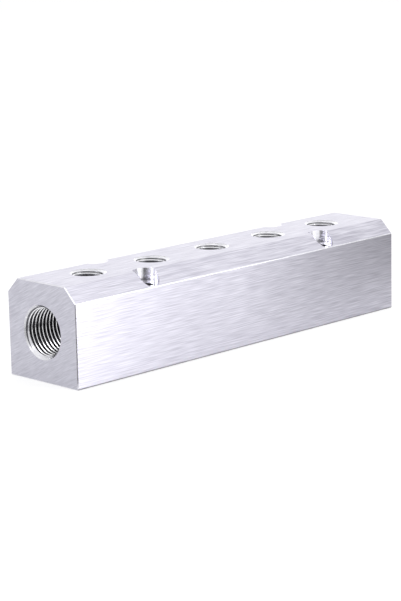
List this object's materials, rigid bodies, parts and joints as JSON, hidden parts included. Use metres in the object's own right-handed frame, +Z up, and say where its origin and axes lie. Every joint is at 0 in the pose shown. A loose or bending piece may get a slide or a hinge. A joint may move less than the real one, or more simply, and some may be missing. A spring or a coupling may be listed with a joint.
{
  "type": "air manifold block",
  "caption": "Square aluminium bar block with chamfered top edges, a through air passage with threaded end inlets, a row of threaded top outlets and counterbored screw holes.",
  "frame": {"origin": "centre of the bottom face", "axes": "+Z up through the outlets, +X along the bar and its passage, towards the inlet that the picture doesn't show"},
  "size_m": [0.19, 0.04, 0.04],
  "materials": {
    "milled_aluminium": "brushed and milled bare aluminium"
  },
  "bodies": {
    "root": {"manifold_block": "milled_aluminium"}
  },
  "joints": []
}
